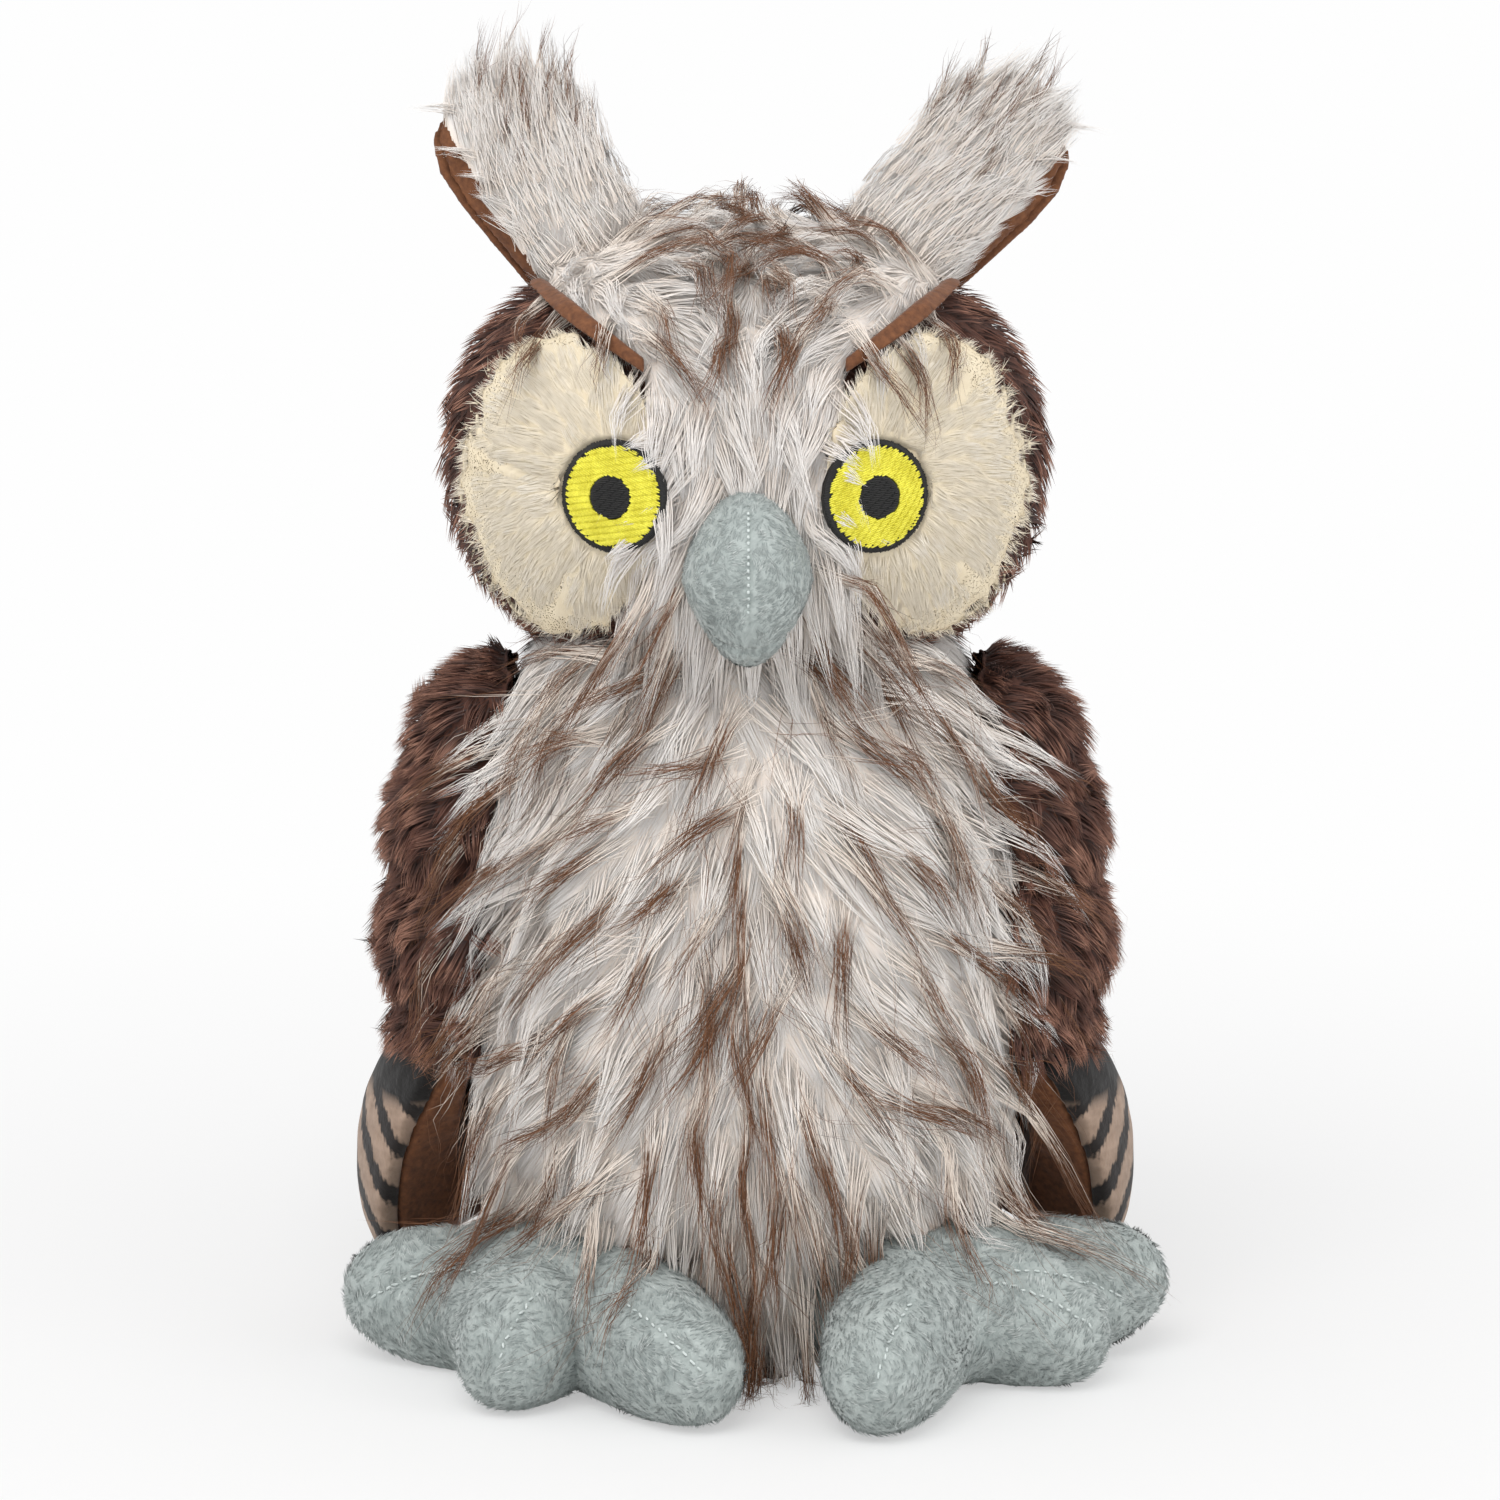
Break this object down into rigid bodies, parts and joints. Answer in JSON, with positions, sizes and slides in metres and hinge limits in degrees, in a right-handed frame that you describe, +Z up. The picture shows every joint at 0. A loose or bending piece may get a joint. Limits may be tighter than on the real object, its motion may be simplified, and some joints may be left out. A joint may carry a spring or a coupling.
{
  "type": "plush owl",
  "caption": "Sitting plush horned owl with long fur, cream eye discs, stitched eyes, a stuffed bill, hanging wings, a short tail and toed feet.",
  "frame": {"origin": "middle of the base panel's underside", "axes": "+Z up, the owl faces -Y, +X is to the right of someone who looks at its face"},
  "size_m": [0.1837, 0.1758, 0.2892],
  "materials": {
    "long_pile_white": "matte",
    "short_pile_brown": "matte",
    "suede_brown": "matte",
    "plush_cream": "matte",
    "thread_black": "matte",
    "thread_yellow": "matte",
    "plush_grey_green": "matte",
    "plush_striped": "matte",
    "filling": "matte",
    "calico": "matte"
  },
  "bodies": {
    "body": {"body_filling": "filling", "body_front_panel": "long_pile_white", "body_back_panel": "short_pile_brown", "base_panel": "suede_brown", "pellet_bag": "calico"},
    "head": {"head_filling": "filling", "head_crown_panel": "long_pile_white", "head_back_panel": "short_pile_brown", "beak": "plush_grey_green", "left_brow_lining": "suede_brown", "right_brow_lining": "suede_brown", "left_eye_disc": "plush_cream", "left_eye_ring": "thread_black", "left_eye_iris": "thread_yellow", "left_eye_pupil": "thread_black", "right_eye_disc": "plush_cream", "right_eye_ring": "thread_black", "right_eye_iris": "thread_yellow", "right_eye_pupil": "thread_black"},
    "left_ear": {"left_ear_front": "long_pile_white", "left_ear_lining": "suede_brown"},
    "left_wing": {"left_wing_covert": "short_pile_brown", "left_wing_flight": "plush_striped", "left_wing_lining": "suede_brown"},
    "left_foot": {"left_foot": "plush_grey_green"},
    "right_ear": {"right_ear_front": "long_pile_white", "right_ear_lining": "suede_brown"},
    "right_wing": {"right_wing_covert": "short_pile_brown", "right_wing_flight": "plush_striped", "right_wing_lining": "suede_brown"},
    "right_foot": {"right_foot": "plush_grey_green"},
    "tail": {"tail_top": "plush_striped", "tail_lining": "suede_brown"}
  },
  "joints": [
    {"name": "head_turn", "type": "hinge", "parent": "body", "child": "head", "pos_m": [0, 0, 0.162], "axis": [0, 0, 1], "range_deg": [-30, 30], "stiffness_Nm_per_rad": 0.06},
    {"name": "left_ear_bend", "type": "hinge", "parent": "head", "child": "left_ear", "pos_m": [-0.03711, 0, 0.2505], "axis": [0.8192, 0, 0.5736], "range_deg": [-15, 20], "stiffness_Nm_per_rad": 0.01},
    {"name": "left_wing_lift", "type": "hinge", "parent": "body", "child": "left_wing", "pos_m": [-0.05084, 0, 0.16], "axis": [0, 1, 0], "range_deg": [0, 40], "stiffness_Nm_per_rad": 0.03},
    {"name": "left_toe_lift", "type": "hinge", "parent": "body", "child": "left_foot", "pos_m": [-0.0399, -0.018, 0.0287], "axis": [-1, 0, 0], "range_deg": [0, 12], "stiffness_Nm_per_rad": 0.08},
    {"name": "right_ear_bend", "type": "hinge", "parent": "head", "child": "right_ear", "pos_m": [0.03711, 0, 0.2505], "axis": [0.7314, 0, -0.682], "range_deg": [-15, 20], "stiffness_Nm_per_rad": 0.01},
    {"name": "right_wing_lift", "type": "hinge", "parent": "body", "child": "right_wing", "pos_m": [0.05084, 0, 0.16], "axis": [0, -1, 0], "range_deg": [0, 40], "stiffness_Nm_per_rad": 0.03},
    {"name": "right_toe_lift", "type": "hinge", "parent": "body", "child": "right_foot", "pos_m": [0.0399, -0.018, 0.0287], "axis": [-1, 0, 0], "range_deg": [0, 12], "stiffness_Nm_per_rad": 0.08},
    {"name": "tail_lift", "type": "hinge", "parent": "body", "child": "tail", "pos_m": [0, 0.06063, 0.05994], "axis": [1, 0, 0], "range_deg": [0, 30], "stiffness_Nm_per_rad": 0.015}
  ]
}
